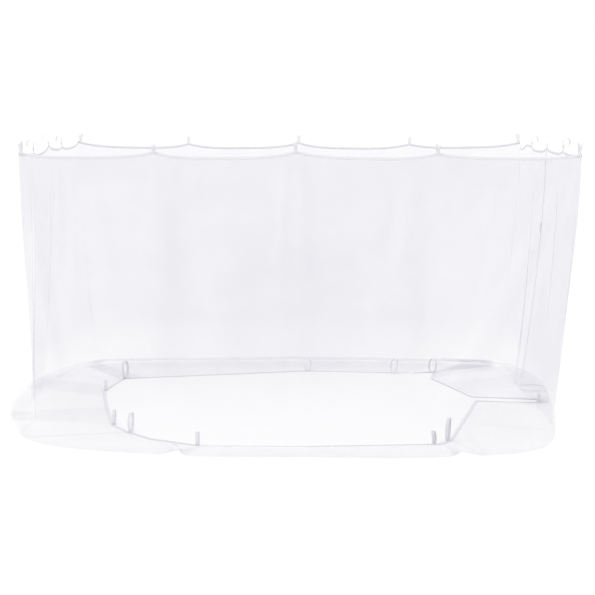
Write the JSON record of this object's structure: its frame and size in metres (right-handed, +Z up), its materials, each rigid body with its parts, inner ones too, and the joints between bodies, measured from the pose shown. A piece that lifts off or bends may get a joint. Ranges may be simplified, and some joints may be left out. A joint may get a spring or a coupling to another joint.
{
  "type": "gazebo mosquito net",
  "caption": "Open-topped rectangular curtain of sheer white netting for a gazebo, hung by tape loops and pooling on the floor, with a zipped doorway.",
  "frame": {"origin": "middle of the bounding box, on the floor the net pools on", "axes": "+Z up, -Y the front, the long side pictured, +X to the right of a person looking at the front"},
  "size_m": [4.5009, 3.901, 2.1937],
  "materials": {
    "netting": "sheer woven mesh",
    "binding_tape": "woven tape",
    "loop_tape": "woven tape",
    "strap_tape": "woven tape",
    "zip_tape": "woven tape with moulded coil",
    "zip_slider": "satin"
  },
  "bodies": {
    "root": {"hang_loop_back_1": "loop_tape", "hang_loop_back_2": "loop_tape", "hang_loop_back_3": "loop_tape", "hang_loop_back_4": "loop_tape", "hang_loop_front_1": "loop_tape", "hang_loop_front_2": "loop_tape", "hang_loop_front_3": "loop_tape", "hang_loop_front_4": "loop_tape", "hang_loop_left_1": "loop_tape", "hang_loop_left_2": "loop_tape", "hang_loop_left_3": "loop_tape", "hang_loop_left_4": "loop_tape", "hang_loop_right_1": "loop_tape", "hang_loop_right_2": "loop_tape", "hang_loop_right_3": "loop_tape", "hang_loop_right_4": "loop_tape", "hem_strap_back_2": "strap_tape", "hem_strap_back_3": "strap_tape", "hem_strap_back_left": "strap_tape", "hem_strap_back_right": "strap_tape", "hem_strap_front_2": "strap_tape", "hem_strap_front_4_short": "strap_tape", "hem_strap_front_4_tall": "strap_tape", "hem_strap_front_left": "strap_tape", "hem_strap_left_2": "strap_tape", "hem_strap_left_4": "strap_tape", "hem_strap_zip_foot": "strap_tape", "hem_tape": "binding_tape", "netting": "netting", "top_tape_back": "binding_tape", "top_tape_front": "binding_tape", "top_tape_left": "binding_tape", "top_tape_right": "binding_tape", "zip_slider": "zip_slider", "zip_tape": "zip_tape"}
  },
  "joints": []
}
